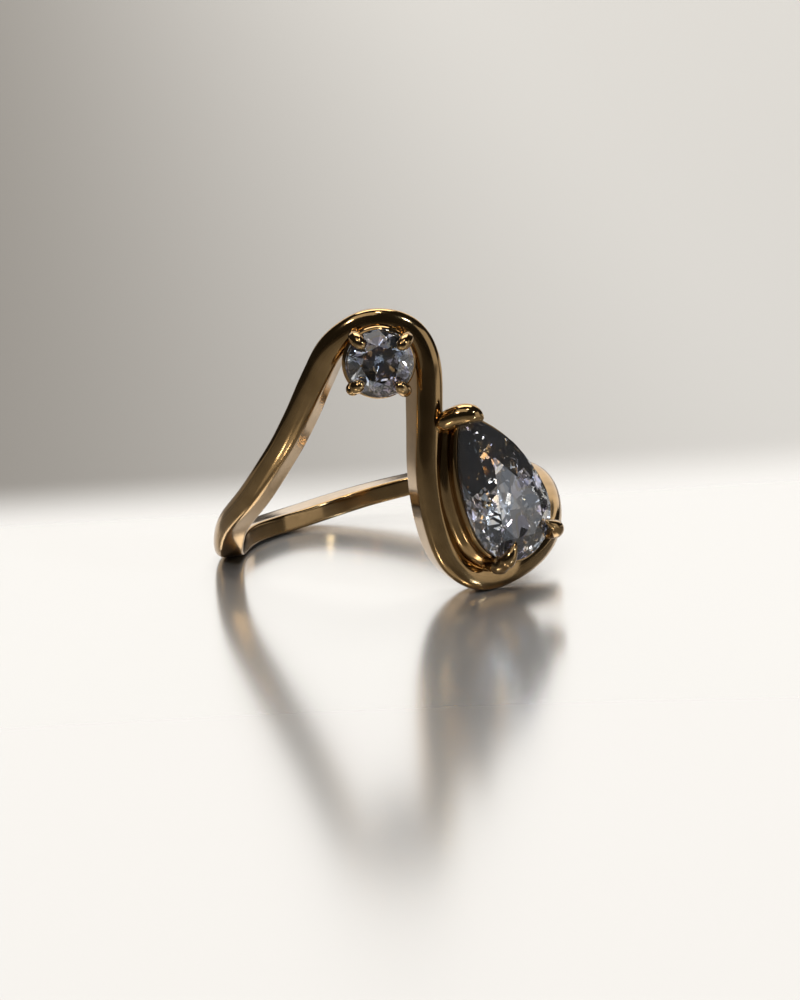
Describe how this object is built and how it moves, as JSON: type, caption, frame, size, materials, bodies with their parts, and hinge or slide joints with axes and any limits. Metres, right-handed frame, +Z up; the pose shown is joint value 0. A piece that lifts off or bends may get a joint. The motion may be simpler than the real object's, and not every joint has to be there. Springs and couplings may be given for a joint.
{
  "type": "toi et moi ring",
  "caption": "Finger ring lying on its side: a wave-shaped gold band whose arch frames a round brilliant in prongs and whose dip cradles a pear-shaped brilliant in claws.",
  "frame": {"origin": "middle of the resting ring's bounding box, on the surface it lies on", "axes": "+Z up from that surface; the stones face -Y; +X to the right of them, on the pear stone's side"},
  "size_m": [0.0202, 0.0229, 0.0167],
  "materials": {
    "gold": "polished",
    "diamond": "polished facets"
  },
  "bodies": {
    "root": {"band_and_settings": "gold", "round_diamond": "diamond", "pear_diamond": "diamond"}
  },
  "joints": []
}
